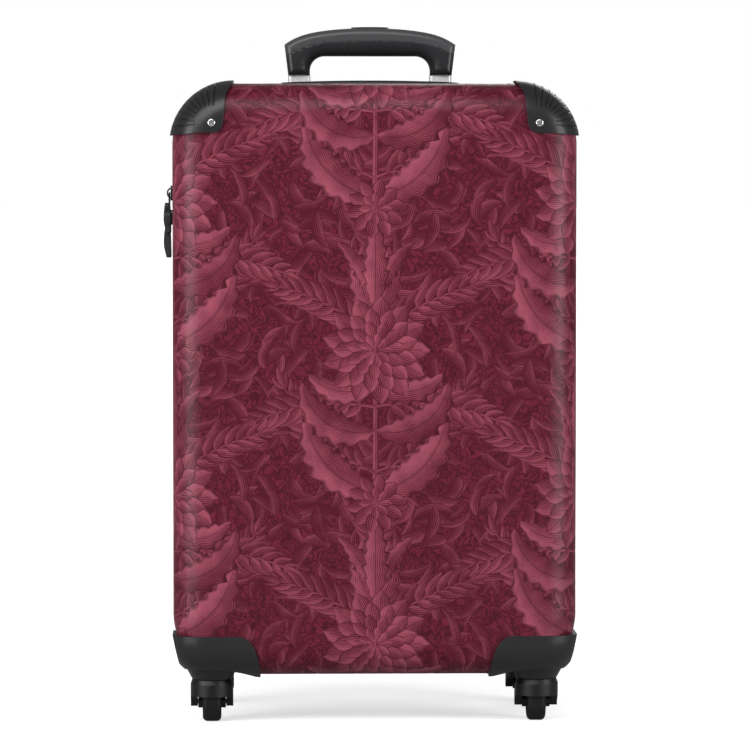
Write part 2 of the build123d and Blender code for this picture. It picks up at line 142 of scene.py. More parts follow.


# Shared ways of finishing a piece: every piece sits at the origin in metres, rides on the
# body of the case it is given, if any, and takes the place of the plain CAD solids it dresses, if any.
def make_piece(name, spots_mm, faces, material, body, replaced=(), sharp=35):
    mesh = bpy.data.meshes.new(name)
    mesh.from_pydata((np.asarray(spots_mm, float) / 1000).tolist(), [], [list(f) for f in faces])
    mesh.materials.append(material)
    piece = bpy.data.objects.new(name, mesh)
    bpy.context.collection.objects.link(piece)
    bpy.ops.object.select_all(action="DESELECT")
    piece.select_set(True)
    bpy.context.view_layer.objects.active = piece
    bpy.ops.object.shade_smooth_by_angle(angle=math.radians(sharp))
    if body:
        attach(piece, body)
    if replaced:
        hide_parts(*replaced)
    return piece


def soften_node(node, material, body, slot, width_mm, segments=3):
    """A copy of a CAD solid with its edges rounded."""
    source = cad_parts[node]
    copy = source.copy()
    copy.data = source.data.copy()
    copy.name = "soft_" + node
    copy.parent = None
    copy.data.transform(source.matrix_world)
    copy.matrix_world.identity()
    bpy.context.collection.objects.link(copy)
    copy.data.materials.clear()
    copy.data.materials.append(material)
    bpy.ops.object.select_all(action="DESELECT")
    copy.select_set(True)
    bpy.context.view_layer.objects.active = copy
    bpy.ops.object.mode_set(mode="EDIT")
    bpy.ops.mesh.select_all(action="SELECT")
    bpy.ops.mesh.remove_doubles(threshold=0.00002)
    bpy.ops.mesh.dissolve_limited(angle_limit=math.radians(4))
    bpy.ops.object.mode_set(mode="OBJECT")
    bevel = copy.modifiers.new("rounded_edges", "BEVEL")
    bevel.width = width_mm / 1000
    bevel.segments = segments
    bevel.limit_method = "ANGLE"
    bevel.angle_limit = math.radians(30)
    bpy.ops.object.modifier_apply(modifier=bevel.name)
    bpy.ops.object.shade_smooth_by_angle(angle=math.radians(35))
    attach(copy, body)
    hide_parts(node)
    return copy


case_half = np.array([172.0, 252.0])
case_mid_z = 295.0
edge_r, corner_r, shell_front, rim_y = 26.0, 52.0, 97.0, 7.0


# Printed cover: thin polyurethane leather bonded over each hard half shell, printed
# all over with foliage in tones of one wine red. It wraps round the rounded edges
# and stops under the rim binding. One block of the print repeats in a half drop.
block_w, block_h = 180.0, 250.0
grid_x, grid_y = 28, 40          # cells across and up one block
motif = []


def curved_line(start, heading, length, curl, steps):
    points = [np.array(start, float)]
    for step in range(steps):
        angle = math.radians(heading + curl * (step + 0.5) / steps)
        points.append(points[-1] + length / steps * np.array([math.cos(angle), math.sin(angle)]))
    return np.array(points)


def draw_blade(spine, width, swell=0.75, blunt=0.8, teeth=0, tone=0.5, stem=False):
    """A leaf, petal or stem: a spine and a half width along it."""
    count = len(spine) - 1
    t = np.linspace(0, 1, count + 1)
    if stem:
        half = width / 2 * (1 - 0.55 * t)
    else:
        half = width / 2 * np.sin(np.pi * np.clip(t, 0.004, 0.996) ** swell) ** blunt
    odd = np.arange(count + 1) % 2
    heading = np.gradient(spine, axis=0)
    heading /= np.linalg.norm(heading, axis=1)[:, None]
    normal = np.stack([-heading[:, 1], heading[:, 0]], 1)
    reach = np.zeros_like(spine)
    if teeth:
        reach = heading * (half * 0.4 * odd)[:, None]
        half = half * np.where(odd, 1.2, 0.82)
    left, right = spine + normal * half[:, None] + reach, spine - normal * half[:, None] + reach
    motif.append({"ring": np.concatenate([left, right[::-1]]), "spine": spine, "half": np.maximum(half, 0.15),
                  "width": width, "tone": tone})


def draw_pair(spine, *args, **kw):
    draw_blade(spine, *args, **kw)
    draw_blade(spine * np.array([-1, 1]), *args, **kw)


def draw_frond(start, heading, length, curl, leaflets, longest, tone):
    stem = curved_line(start, heading, length, curl, 14)
    draw_pair(stem, 2.6, tone=tone + 0.15, stem=True)
    for i in range(leaflets):
        f = (i + 1.2) / (leaflets + 0.6)
        at = f * 14
        low = min(int(at), 13)
        base = stem[low] + (stem[low + 1] - stem[low]) * (at - low)
        along = heading + curl * f
        size = longest * (math.sin(math.pi * (0.18 + 0.74 * f)) * 0.75 + 0.25)
        for side in (-1, 1):
            leaf = curved_line(base, along + side * (52 - 12 * f), size, -side * 26, 5)
            draw_pair(leaf, size * 0.36, 0.7, 0.75, tone=tone + 0.06 * side)
    tip = curved_line(stem[-1] - (stem[-1] - stem[-2]) * 0.3, heading + curl, longest * 0.6, curl * 0.1, 5)
    draw_pair(tip, longest * 0.24, 0.7, 0.75, tone=tone)


def draw_rosette(centre, rings, tone):
    for count, inner, length, width, turn, shade in rings:
        for i in range(count):
            angle = turn + 360 / count * i
            start = (centre[0] + inner * math.cos(math.radians(angle)),
                     centre[1] + inner * math.sin(math.radians(angle)))
            draw_blade(curved_line(start, angle, length, 0, 6), width, 1.35, 0.6, tone=tone + shade)


luck = random.Random(7)
for i in range(70):
    start = (luck.uniform(4, block_w / 2 + 6), luck.uniform(-block_h / 2, block_h / 2))
    draw_pair(curved_line(start, luck.uniform(0, 360), luck.uniform(24, 40), luck.choice((-70, 70)), 6),
              luck.uniform(8, 12.5), 0.8, 0.8, tone=luck.uniform(0.14, 0.34))
draw_blade(curved_line((0, -128), 90, 150, 0, 16), 6, tone=0.6, stem=True)
draw_frond((0, -96), 158, 112, -44, 10, 28, 0.38)
draw_frond((0, -40), 170, 108, 34, 10, 27, 0.44)
draw_frond((0, 20), 140, 96, 26, 9, 25, 0.4)
draw_frond((0, 28), 112, 104, -66, 9, 25, 0.46)
draw_pair(curved_line((-1, -112), 170, 92, -74, 14), 31, 0.8, 0.8, 1, 0.6)
draw_pair(curved_line((-1, -60), 196, 84, -100, 14), 27, 0.8, 0.8, 1, 0.52)
draw_pair(curved_line((-1, -20), 214, 62, -84, 12), 21, 0.8, 0.8, 1, 0.6)
draw_pair(curved_line((-1, 40), 128, 62, -62, 12), 20, 0.8, 0.8, 1, 0.58)
draw_pair(curved_line((-1, 52), 106, 58, 34, 12), 15, 0.8, 0.8, 1, 0.5)
draw_blade(curved_line((0, 44), 90, 76, 0, 14), 21, 0.8, 0.8, 1, 0.62)
draw_rosette((0, 8), ((13, 12, 34, 18, 0, 0.0), (13, 9, 27, 14.5, 13.8, 0.07),
                      (11, 5, 21, 11, 6, -0.02), (9, 2, 13, 7.5, 0, 0.1)), 0.56)
draw_rosette((0, 128), ((10, 4, 21, 12, 9, -0.02), (8, 1, 13, 7.5, 0, 0.1)), 0.48)


def inside(ring, points):
    """Which points a closed ring winds round."""
    turns = np.zeros(len(points), int)
    for a, b in zip(ring, np.roll(ring, -1, 0)):
        side = (b[0] - a[0]) * (points[:, 1] - a[1]) - (points[:, 0] - a[0]) * (b[1] - a[1])
        turns += ((a[1] <= points[:, 1]) & (b[1] > points[:, 1]) & (side > 0)).astype(int)
        turns -= ((a[1] > points[:, 1]) & (b[1] <= points[:, 1]) & (side < 0)).astype(int)
    return turns != 0


def block_print():
    """One block as triangles, each with the number and place of the topmost shape over it."""
    w, h = block_w / 2, block_h / 2
    coords = [(-w + block_w / grid_x * i, -h + block_h / grid_y * j) for j in range(grid_y + 1)
              for i in range(grid_x + 1)]
    edges, laid = [], []
    for number, shape in enumerate(motif):
        for column in (-1, 0, 1):
            for row in (-2, -1, 0, 1, 2):
                shift = np.array([column * block_w, (row + (column % 2) / 2) * block_h])
                ring = shape["ring"] + shift
                if (ring.min(0) > (w, h)).any() or (ring.max(0) < (-w, -h)).any():
                    continue
                first = len(coords)
                coords.extend(map(tuple, ring))
                edges.extend((first + i, first + (i + 1) % len(ring)) for i in range(len(ring)))
                laid.append((number, shift, ring))
    row = grid_x + 1
    for i in range(grid_x):
        edges += [(i, i + 1), (i + row * grid_y, i + 1 + row * grid_y)]
    for j in range(grid_y):
        edges += [(j * row, j * row + row), (j * row + grid_x, j * row + grid_x + row)]
    found = delaunay_2d_cdt([Vector(c) for c in coords], edges, [], 0, 1e-5, False)
    points = np.array([tuple(v) for v in found[0]])
    corners = np.array([f for f in found[2] if len(f) == 3])
    middle = points[corners].mean(1)
    within = (np.abs(middle) < (w, h)).all(1)
    corners, middle = corners[within], middle[within]
    top = np.full(len(corners), -1)
    for place, (number, shift, ring) in enumerate(laid):
        near = np.nonzero((middle > ring.min(0)).all(1) & (middle < ring.max(0)).all(1))[0]
        top[near[inside(ring, middle[near])]] = place
    return points, corners, top, laid


def place_in_shape(shape, shift, points):
    """How far along a shape and across it, from -1 to 1, each point lies."""
    spine = shape["spine"] + shift
    a, run = spine[:-1], np.diff(spine, axis=0)
    length = np.linalg.norm(run, axis=1)
    rel = points[:, None, :] - a[None]
    f = np.clip((rel * run).sum(2) / (length ** 2), 0, 1)
    off = rel - f[..., None] * run
    nearest = np.argmin((off ** 2).sum(2), 1)
    rows = np.arange(len(points))
    f, off, seg = f[rows, nearest], off[rows, nearest], run[nearest]
    side = seg[:, 0] * off[:, 1] - seg[:, 1] * off[:, 0]
    across = np.sign(side) * np.linalg.norm(off, axis=1)
    half = shape["half"][nearest] + f * (shape["half"][nearest + 1] - shape["half"][nearest])
    along = np.concatenate([[0], np.cumsum(length)])[nearest] + f * length[nearest]
    return along, np.clip(across / half, -1, 1)


def wrap_on_case(flat, proud, depth=shell_front, edge=edge_r):
    """Bends points of a flat sheet, in mm, round the front half of the case."""
    r = corner_r - edge
    q = np.abs(flat) - (case_half - edge - r)
    outside = np.linalg.norm(np.maximum(q, 0), axis=1)
    distance = outside + np.minimum(q.max(1), 0) - r
    corner = (q > 0).all(1)
    normal = np.where(corner[:, None], np.maximum(q, 0) / np.maximum(outside, 1e-9)[:, None],
                      np.stack([q[:, 0] >= q[:, 1], q[:, 1] > q[:, 0]], 1).astype(float))
    normal = normal * np.where(flat < 0, -1, 1)
    d = np.maximum(distance, 0)
    foot = flat - normal * d[:, None]
    bend = np.minimum(d / edge, math.pi / 2)
    run = np.maximum(d - edge * math.pi / 2, 0)
    grown = edge + proud
    spot = foot + normal * (grown * np.sin(bend))[:, None]
    y = -depth - proud + grown * (1 - np.cos(bend)) + run
    return np.stack([spot[:, 0], y, spot[:, 1] + case_mid_z], 1)


print_points, print_faces, print_top, laid = block_print()
face_uv = np.zeros((len(print_faces), 3, 2))
face_ink = np.zeros((len(print_faces), 4))
face_ink[:, 3] = 1
for place, (number, shift, ring) in enumerate(laid):
    rows = np.nonzero(print_top == place)[0]
    shape = motif[number]
    tone = shape["tone"] + luck.uniform(-0.05, 0.05)
    if not len(rows):
        continue
    along, across = place_in_shape(shape, shift, print_points[print_faces[rows]].reshape(-1, 2))
    face_uv[rows, :, 0] = along.reshape(-1, 3)
    face_uv[rows, :, 1] = across.reshape(-1, 3)
    face_ink[rows, :3] = (1.0, tone, max(3.0, shape["width"] / 1.7) / 20)
span = case_half - edge_r + edge_r * math.pi / 2 + (shell_front - edge_r - rim_y)
flat_all, faces_all, uv_all, ink_all, count = [], [], [], [], 0
for column in range(-3, 4):
    for row in range(-3, 4):
        shift = np.array([column * block_w, (row + (column % 2) / 2) * block_h + 18])
        if (np.abs(shift) - np.array([block_w, block_h]) / 2 > span).any():
            continue
        flat_all.append(print_points + shift)
        faces_all.append(print_faces + count)
        uv_all.append(face_uv)
        ink_all.append(face_ink)
        count += len(print_points)
flat_all, faces_all = np.concatenate(flat_all), np.concatenate(faces_all)
uv_all, ink_all = np.concatenate(uv_all), np.concatenate(ink_all)
solid_all = wrap_on_case(flat_all, 0.3)
keep = (solid_all[:, 1][faces_all] < -rim_y - 1.5).all(1)
under_housing = ((np.abs(solid_all[:, 0]) > 107) & (solid_all[:, 2] < 68) & (solid_all[:, 1] < -36))
keep &= ~under_housing[faces_all].any(1)
faces_all, uv_all, ink_all = faces_all[keep], uv_all[keep], ink_all[keep]
used, inverse = np.unique(faces_all, return_inverse=True)
faces_all = inverse.reshape(-1, 3)
solid_all, flat_all = solid_all[used], flat_all[used]
print("print:", len(motif), "shapes,", len(print_faces), "triangles a block,", len(faces_all), "a cover")

leather, tree, shader = start_material("printed_pu_leather", 0.38)
shader.inputs["Specular IOR Level"].default_value = 0.22
flat_at = add(tree, "ShaderNodeUVMap", {"uv_map": "print_mm"}).outputs["UV"]
leaf_at = add(tree, "ShaderNodeUVMap", {"uv_map": "leaf_mm"}).outputs["UV"]
ink = add(tree, "ShaderNodeSeparateColor",
          links={"Color": add(tree, "ShaderNodeAttribute", {"attribute_name": "ink"}).outputs["Color"]}).outputs


def calc(operation, *values, clamp=False):
    node = add(tree, "ShaderNodeMath", {"operation": operation, "use_clamp": clamp})
    for number, value in enumerate(values):
        if isinstance(value, (int, float)):
            node.inputs[number].default_value = value
        else:
            tree.links.new(value, node.inputs[number])
    return node.outputs[0]


def mixed(amount, a, b):
    links, settings = {}, {"data_type": "RGBA"}
    for key, value in ((0, amount), (6, a), (7, b)):
        (settings if isinstance(value, (list, float)) else links)[key] = value
    return add(tree, "ShaderNodeMix", settings, links).outputs[2]


def spread_range(value, low, high, to_low=0.0, to_high=1.0):
    return add(tree, "ShaderNodeMapRange", {"From Min": low, "From Max": high, "To Min": to_low,
                                            "To Max": to_high}, {"Value": value}).outputs["Result"]


# the ground: small curled leaflets about 8 mm long with dark gaps
sway = add(tree, "ShaderNodeTexNoise", {"noise_dimensions": "2D", "Scale": 0.07, "Detail": 2.0},
           {"Vector": flat_at}).outputs["Color"]
sway = add(tree, "ShaderNodeVectorMath", {"operation": "MULTIPLY_ADD", 1: (22, 22, 0)},
           {0: sway, 2: flat_at}).outputs[0]
cells = {"voronoi_dimensions": "2D", "Scale": 0.17}
gaps = add(tree, "ShaderNodeTexVoronoi", cells | {"feature": "DISTANCE_TO_EDGE"}, {"Vector": sway})
which = add(tree, "ShaderNodeTexVoronoi", cells | {"feature": "F1"}, {"Vector": sway})
leaflet = spread_range(gaps.outputs["Distance"], 0.03, 0.2)
cell_tone = add(tree, "ShaderNodeSeparateColor", links={"Color": which.outputs["Color"]}).outputs["Red"]
ripple = add(tree, "ShaderNodeTexWave", {"Scale": 0.16, "Distortion": 5.0, "Detail": 1.0},
             {"Vector": sway}).outputs["Fac"]
ground_tone = calc("MULTIPLY", leaflet, calc("MULTIPLY_ADD", cell_tone, 0.45, 0.4))
ground_tone = calc("MULTIPLY", ground_tone, calc("MULTIPLY_ADD", ripple, 0.35, 0.75))
ground = mixed(ground_tone, linear("3c0515"), linear("681b33"))
# leaves and petals: engraved lines that run together at the tip, a dark outline
across = leaf_at_y = add(tree, "ShaderNodeSeparateXYZ", links={"Vector": leaf_at}).outputs["Y"]
wobble = add(tree, "ShaderNodeTexNoise", {"noise_dimensions": "2D", "Scale": 0.25, "Detail": 1.0},
             {"Vector": flat_at}).outputs["Fac"]
phase = calc("MULTIPLY_ADD", across, calc("MULTIPLY", ink["Blue"], 20 * math.pi), calc("MULTIPLY", wobble, 4.0))
engraved = calc("MULTIPLY_ADD", calc("SINE", phase), 0.5, 0.5)
lit_side = spread_range(across, -1.0, 0.7)
mottle = add(tree, "ShaderNodeTexNoise", {"noise_dimensions": "2D", "Scale": 0.06, "Detail": 3.0},
             {"Vector": flat_at}).outputs["Fac"]
leaf_tone = calc("MULTIPLY_ADD", lit_side, 0.28, calc("MULTIPLY_ADD", ink["Green"], 0.7, -0.14))
leaf_tone = calc("ADD", leaf_tone, calc("MULTIPLY_ADD", mottle, 0.5, -0.22))
leaf_tone = calc("SUBTRACT", leaf_tone, calc("MULTIPLY", engraved, calc("MULTIPLY_ADD", lit_side, -0.3, 0.58)),
                 clamp=True)
warmth = spread_range(mottle, 0.5, 0.72, 0.0, 0.4)
leaf_colour = mixed(leaf_tone, linear("4a081c"), mixed(warmth, linear("b05a71"), linear("aa5258")))
rim_line = spread_range(calc("ABSOLUTE", across), 0.74, 0.96)
rib_line = spread_range(calc("ABSOLUTE", across), 0.1, 0.03, 0.0, 0.6)
leaf_colour = mixed(calc("MULTIPLY", calc("MAXIMUM", rim_line, rib_line), 0.85), leaf_colour, linear("3c0515"))
print_colour = mixed(ink["Red"], ground, leaf_colour)
tree.links.new(print_colour, shader.inputs["Base Color"])
grain = add(tree, "ShaderNodeTexVoronoi", {"voronoi_dimensions": "2D", "feature": "DISTANCE_TO_EDGE",
                                           "Scale": 0.9}, {"Vector": flat_at}).outputs["Distance"]
bump = add(tree, "ShaderNodeBump", {"Strength": 0.12, "Distance": 0.0003}, {"Height": grain})
tree.links.new(bump.outputs[0], shader.inputs["Normal"])

for side, turn in (("front", 1), ("rear", -1)):
    cover = make_piece(f"{side}_printed_cover", solid_all * (turn, turn, 1), faces_all, leather, side,
                       sharp=60)
    cover.data.uv_layers.new(name="print_mm").data.foreach_set("uv", flat_all[faces_all.ravel()].ravel())
    cover.data.uv_layers.new(name="leaf_mm").data.foreach_set("uv", uv_all.ravel())
    tones = cover.data.attributes.new("ink", "FLOAT_COLOR", "CORNER")
    tones.data.foreach_set("color", np.repeat(ink_all, 3, axis=0).ravel())
    bpy.ops.object.mode_set(mode="EDIT")
    bpy.ops.mesh.select_all(action="SELECT")
    bpy.ops.mesh.remove_doubles(threshold=0.00001)
    bpy.ops.object.mode_set(mode="OBJECT")


# Hard plastics: spark-grained black ABS for guards and housings, smoother black
# polypropylene for forks, hubs, bezel and buckle, and the case's own inner shell.
def plastic(name, code, rough, grain_mm, strength, edge_mm=0.5):
    material, tree, shader = start_material(name, rough)
    shader.inputs["Specular IOR Level"].default_value = 0.35
    at = add(tree, "ShaderNodeTexCoord").outputs["Object"]
    cloud = add(tree, "ShaderNodeTexNoise", {"Scale": 18.0, "Detail": 3.0}, {"Vector": at})
    base = linear(code)
    tint = add(tree, "ShaderNodeMix", {"data_type": "RGBA", 6: [c * 0.82 for c in base[:3]] + [1],
                                       7: [min(c * 1.2, 1) for c in base[:3]] + [1]}, {0: cloud.outputs["Fac"]})
    tree.links.new(tint.outputs[2], shader.inputs["Base Color"])
    wear = add(tree, "ShaderNodeMapRange", {"To Min": rough - 0.06, "To Max": rough + 0.08},
               {"Value": cloud.outputs["Fac"]})
    tree.links.new(wear.outputs["Result"], shader.inputs["Roughness"])
    pits = add(tree, "ShaderNodeTexNoise", {"Scale": 1000 / grain_mm, "Detail": 2.0}, {"Vector": at})
    rounded = add(tree, "ShaderNodeBevel", {"samples": 4, "Radius": edge_mm / 1000})
    bump = add(tree, "ShaderNodeBump", {"Strength": strength, "Distance": 0.0002},
               {"Height": pits.outputs["Fac"], "Normal": rounded.outputs[0]})
    tree.links.new(bump.outputs[0], shader.inputs["Normal"])
    return material


def metal(name, code, rough, streak, edge_mm=0.2, metallic=1.0):
    """Brushed where streak gives the scratches' fineness along each axis, else plain."""
    material, tree, shader = start_material(name, rough)
    at = add(tree, "ShaderNodeTexCoord").outputs["Object"]
    drawn = add(tree, "ShaderNodeVectorMath", {"operation": "MULTIPLY", 1: streak}, {0: at})
    lines = add(tree, "ShaderNodeTexNoise", {"Scale": 1.0, "Detail": 2.0}, {"Vector": drawn.outputs[0]})
    base = linear(code)
    tint = add(tree, "ShaderNodeMix", {"data_type": "RGBA", 6: [c * 0.85 for c in base[:3]] + [1], 7: base},
               {0: lines.outputs["Fac"]})
    tree.links.new(tint.outputs[2], shader.inputs["Base Color"])
    gloss = add(tree, "ShaderNodeMapRange", {"To Min": rough * 0.7, "To Max": rough * 1.4},
                {"Value": lines.outputs["Fac"]})
    tree.links.new(gloss.outputs["Result"], shader.inputs["Roughness"])
    rounded = add(tree, "ShaderNodeBevel", {"samples": 4, "Radius": edge_mm / 1000})
    tree.links.new(rounded.outputs[0], shader.inputs["Normal"])
    shader.inputs["Metallic"].default_value = metallic
    return material


def fabric(name, dark, light, thread_mm, slant=0.0, crease=0.0):
    """Woven polyester: two sets of threads crossing, and creases where the cloth hangs loose."""
    material, tree, shader = start_material(name, 0.85)
    at = add(tree, "ShaderNodeTexCoord").outputs["Object"]
    turned = add(tree, "ShaderNodeMapping", {"Rotation": (0.6 + slant, 0.5, 0.7)}, {"Vector": at})
    weft = add(tree, "ShaderNodeTexWave", {"Scale": 157 / thread_mm, "Distortion": 0.6},
               {"Vector": turned.outputs[0]})
    warp = add(tree, "ShaderNodeTexWave", {"bands_direction": "Y", "Scale": 157 / thread_mm, "Distortion": 0.6},
               {"Vector": turned.outputs[0]})
    cross = add(tree, "ShaderNodeMath", {"operation": "MULTIPLY"}, {0: weft.outputs["Fac"], 1: warp.outputs["Fac"]})
    cloud = add(tree, "ShaderNodeTexNoise", {"Scale": 30.0, "Detail": 3.0}, {"Vector": at})
    shade = add(tree, "ShaderNodeMath", {"operation": "MULTIPLY"}, {0: cross.outputs[0], 1: cloud.outputs["Fac"]})
    tint = add(tree, "ShaderNodeMix", {"data_type": "RGBA", 6: linear(dark), 7: linear(light)},
               {0: shade.outputs[0]})
    tree.links.new(tint.outputs[2], shader.inputs["Base Color"])
    worn = add(tree, "ShaderNodeTexNoise", {"Scale": 22.0, "Detail": 4.0, "Distortion": 1.6}, {"Vector": at})
    fold = add(tree, "ShaderNodeBump", {"Strength": crease, "Distance": 0.004}, {"Height": worn.outputs["Fac"]})
    bump = add(tree, "ShaderNodeBump", {"Strength": 0.4, "Distance": 0.0002},
               {"Height": cross.outputs[0], "Normal": fold.outputs[0]})
    tree.links.new(bump.outputs[0], shader.inputs["Normal"])
    shader.inputs["Sheen Weight"].default_value = 0.3
    return material


abs_guard = plastic("spark_grained_abs", "1e1d1f", 0.3, 0.7, 0.14, 1.0)
abs_shell = plastic("smooth_abs_shell", "2a1218", 0.5, 1.5, 0.1)
pp_fork = plastic("moulded_polypropylene", "060506", 0.4, 0.6, 0.15)
pp_bezel = plastic("bezel_abs", "1f1e20", 0.45, 0.7, 0.2)
# The soft cover on top of the bar is a lighter grey than the hard body below it. This is partly two plastics of
# their own colours and partly painted light falling on the bar's top.
grip_hard = plastic("grip_abs", "262527", 0.26, 0.8, 0.08, 0.8)
grip_soft = plastic("grip_soft_touch_tpe", "403f41", 0.3, 0.5, 0.1, 0.8)
button_abs = plastic("button_abs", "242325", 0.4, 0.7, 0.1)
tyre_rubber = plastic("tyre_polyurethane", "040404", 0.6, 0.5, 0.25)
pull_rubber = plastic("pull_soft_pvc", "232224", 0.45, 0.5, 0.2)
binding_vinyl = plastic("rim_binding_vinyl", "17090d", 0.5, 0.9, 0.35)
strap_rubber = plastic("carry_strap_rubber", "1b1a1c", 0.55, 0.6, 0.3)
tube_metal = metal("anodised_aluminium", "e8e6e8", 0.34, (900, 900, 12), metallic=0.4)
steel = metal("zinc_plated_steel", "8d8c8b", 0.35, (400, 400, 400))
chrome = metal("chromed_screw", "dcdcdc", 0.12, (300, 300, 300))
zip_metal = metal("gunmetal_zip_alloy", "4a494b", 0.25, (500, 500, 500))
zip_tape = fabric("zip_tape_polyester", "120a0c", "3b2b2f", 0.5)
lining_cloth = fabric("lining_polyester", "1c1b1e", "5c5b61", 0.6, 0.0, 0.45)
webbing = fabric("packing_strap_webbing", "101012", "3a393d", 1.2)
coil_nylon = plastic("zip_coil_nylon", "1a1214", 0.35, 0.8, 0.05, 0.1)
thread = plastic("sewing_thread", "2b1218", 0.7, 0.3, 0.3, 0.1)

# Zip: two polyester tapes, each with a row of nylon coil turns along its edge, run
# round the case from one end of the hinge to the other. The turns of the two rows
# stand half a step apart. The rim bindings beside them are sewn with a wine thread.
def case_outline(start_z, end_z, step, shift=0.0):
    """Even steps round the case from the hinge side over the top, left and bottom: place and outward direction."""
    w, h, r = case_half[0], case_half[1], corner_r
    runs = [("line", (w, start_z - case_mid_z), (0, 1), h - r - start_z + case_mid_z), ("arc", (w - r, h - r), 0, r),
            ("line", (w - r, h), (-1, 0), 2 * (w - r)), ("arc", (r - w, h - r), 90, r),
            ("line", (-w, h - r), (0, -1), 2 * (h - r)), ("arc", (r - w, r - h), 180, r),
            ("line", (r - w, -h), (1, 0), 2 * (w - r)), ("arc", (w - r, r - h), 270, r),
            ("line", (w, r - h), (0, 1), end_z - case_mid_z + h - r)]
    spots, outs = [], []
    at = step * shift
    for kind, place, turn, size in runs:
        length = size if kind == "line" else size * math.pi / 2
        while at < length:
            if kind == "line":
                spots.append((place[0] + turn[0] * at, place[1] + turn[1] * at))
                outs.append((turn[1], -turn[0]))
            else:
                angle = math.radians(turn) + at / size
                outs.append((math.cos(angle), math.sin(angle)))
                spots.append((place[0] + size * outs[-1][0], place[1] + size * outs[-1][1]))
            at += step
        at -= length
    return np.array(spots) + (0, case_mid_z), np.array(outs)


def row_of_beads(spots, outs, y, proud, along, across, out):
    """Small rounded beads, each with half sizes along the row, across it in y and outwards."""
    ball, faces = [(0, -1, 0)], []
    for ring in (-0.55, 0.55):
        flat = math.sqrt(1 - ring * ring)
        ball += [(flat * math.cos(math.radians(60 * i)), ring, flat * math.sin(math.radians(60 * i)))
                 for i in range(6)]
    ball.append((0, 1, 0))
    for i in range(6):
        j = (i + 1) % 6
        faces += [(0, 1 + i, 1 + j), (1 + i, 7 + i, 7 + j, 1 + j), (7 + i, 13, 7 + j)]
    ball = np.array(ball)
    tangent = np.stack([outs[:, 1], -outs[:, 0]], 1)
    middle = spots + outs * proud
    flat = (middle[:, None] + tangent[:, None] * (ball[:, 0] * along)[None, :, None]
            + outs[:, None] * (ball[:, 2] * out)[None, :, None])
    points = np.stack([flat[..., 0], np.broadcast_to(y + ball[:, 1] * across, flat.shape[:2]), flat[..., 1]], 2)
    every = [tuple(v + 14 * n for v in f) for n in range(len(spots)) for f in faces]
    return points.reshape(-1, 3), every


for side, sign in (("front", -1), ("rear", 1)):
    spots, outs = case_outline(492, 98, 1.7, 0.25 if sign < 0 else 0.75)
    points, faces = row_of_beads(spots, outs, sign * 0.85, 0, 0.62, 0.76, 0.9)
    make_piece(f"{side}_coil_turns", points, faces, coil_nylon, side, [f"{side}_zip_coil"], 80)
    spots, outs = case_outline(295, 294, 4.2)
    points, faces = row_of_beads(spots, outs, sign * 9.2, 0.78, 1.5, 0.3, 0.3)
    make_piece(f"{side}_binding_stitches", points, faces, thread, side, (), 80)


# Soft goods: each starts from its CAD sheet, which is cut into small cells and then
# moved by a slow wave, as cloth that is glued or sewn at its edges only.
def cloth_from(node, name, material, body, cell_mm, push):
    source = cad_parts[node]
    cells = bmesh.new()
    cells.from_mesh(source.data)
    cells.transform(source.matrix_world)
    bmesh.ops.remove_doubles(cells, verts=cells.verts, dist=0.00002)
    spots = np.array([v.co for v in cells.verts])
    for axis in range(3):
        way = [float(axis == i) for i in range(3)]
        for level in np.arange(spots[:, axis].min() + cell_mm / 2000, spots[:, axis].max(), cell_mm / 1000):
            bmesh.ops.bisect_plane(cells, geom=cells.verts[:] + cells.edges[:] + cells.faces[:], dist=1e-7,
                                   plane_co=[level * c for c in way], plane_no=way)
    moved = push(np.array([v.co for v in cells.verts]) * 1000)
    for vertex, place in zip(cells.verts, moved):
        vertex.co = place / 1000
    mesh = bpy.data.meshes.new(name)
    cells.to_mesh(mesh)
    cells.free()
    mesh.materials.append(material)
    piece = bpy.data.objects.new(name, mesh)
    bpy.context.collection.objects.link(piece)
    bpy.ops.object.select_all(action="DESELECT")
    piece.select_set(True)
    bpy.context.view_layer.objects.active = piece
    bpy.ops.object.shade_smooth_by_angle(angle=math.radians(40))
    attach(piece, body)
    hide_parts(node)
    return piece


def rise(value, low, high):
    t = np.clip((value - low) / (high - low), 0, 1)
    return t * t * (3 - 2 * t)


def rumple(p):
    """The lining stands off its shell in shallow folds, but not at the rim or the caster pockets."""
    x, y, z = p[:, 0], p[:, 1], p[:, 2] - case_mid_z
    way = np.stack([np.sign(x) * np.maximum(np.abs(x) - 125, 0), np.sign(y) * np.maximum(np.abs(y) - 48, 0),
                    np.sign(z) * np.maximum(np.abs(z) - 205, 0)], 1)
    way /= np.maximum(np.linalg.norm(way, axis=1), 1e-6)[:, None]
    folds = (np.sin(x / 19 + 1.9 * np.sin(z / 53) + y / 23) * np.sin(z / 31 + 1.5 * np.sin(x / 41) + y / 17)
             + 0.5 * np.sin(x / 8 + z / 13) * np.sin(z / 71 + 1))
    calm = rise(np.abs(y), 12, 34) * (1 - rise(np.abs(x), 70, 92) * (1 - rise(p[:, 2], 84, 110)))
    return p - way * ((1.5 + 1.2 * folds) * calm)[:, None]


def waver(p):
    return p * (1 + 0.0004 * np.sin(p[:, 2:] / 9 + p[:, :1] / 7) * (1, 0, 1))


for side in ("front", "rear"):
    cloth_from(f"{side}_lining", f"{side}_lining_cloth", lining_cloth, side, 11, rumple)
    cloth_from(f"{side}_zip_tape", f"{side}_woven_zip_tape", zip_tape, side, 9, waver)
    cloth_from(f"{side}_rim_binding", f"{side}_sewn_binding", binding_vinyl, side, 6, waver)


def slacken(p):
    slack = rise(np.abs(p[:, 0]), 32, 60) * (1 - rise(np.abs(p[:, 0]), 130, 158))
    p[:, 1] += 1.1 * slack * np.sin(p[:, 0] / 21 + p[:, 2] / 60)
    return p


def crown(p):
    p[:, 2] += 1.3 * (1 - rise(np.abs(p[:, 0]), 6, 52)) * (1 - (np.abs(p[:, 1] - 34) / 22) ** 2)
    return p


